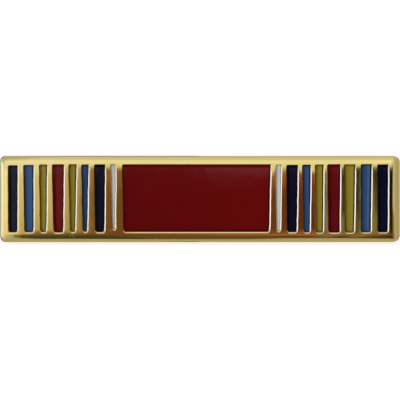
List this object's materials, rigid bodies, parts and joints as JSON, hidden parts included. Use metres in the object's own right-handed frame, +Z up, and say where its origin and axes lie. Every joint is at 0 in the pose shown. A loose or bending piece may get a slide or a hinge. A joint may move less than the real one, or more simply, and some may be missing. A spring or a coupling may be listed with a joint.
{
  "type": "medal lapel pin",
  "caption": "Small gold-plated ribbon-bar lapel pin with recessed soft-enamel stripes and a soldered post behind for a clutch.",
  "frame": {"origin": "on the surface that the pin rests on, under the middle of its box", "axes": "+X along the bar, to the right as its face is seen; the face looks towards -Y and up; +Z up"},
  "size_m": [0.0222, 0.0094, 0.0049],
  "materials": {
    "gold_plate": "polished gold plate over brass",
    "enamel_red": "soft enamel, semi-gloss",
    "enamel_navy": "soft enamel, semi-gloss",
    "enamel_blue": "soft enamel, semi-gloss",
    "enamel_olive": "soft enamel, semi-gloss",
    "enamel_white": "soft enamel, semi-gloss"
  },
  "bodies": {
    "root": {"bar_with_post": "gold_plate", "left_navy_outer": "enamel_navy", "left_blue_outer": "enamel_blue", "left_olive_outer": "enamel_olive", "left_red": "enamel_red", "left_olive_inner": "enamel_olive", "left_blue_inner": "enamel_blue", "left_navy_inner": "enamel_navy", "left_white": "enamel_white", "centre_red": "enamel_red", "right_white": "enamel_white", "right_navy_inner": "enamel_navy", "right_blue_inner": "enamel_blue", "right_olive_inner": "enamel_olive", "right_red": "enamel_red", "right_olive_outer": "enamel_olive", "right_blue_outer": "enamel_blue", "right_navy_outer": "enamel_navy"}
  },
  "joints": []
}
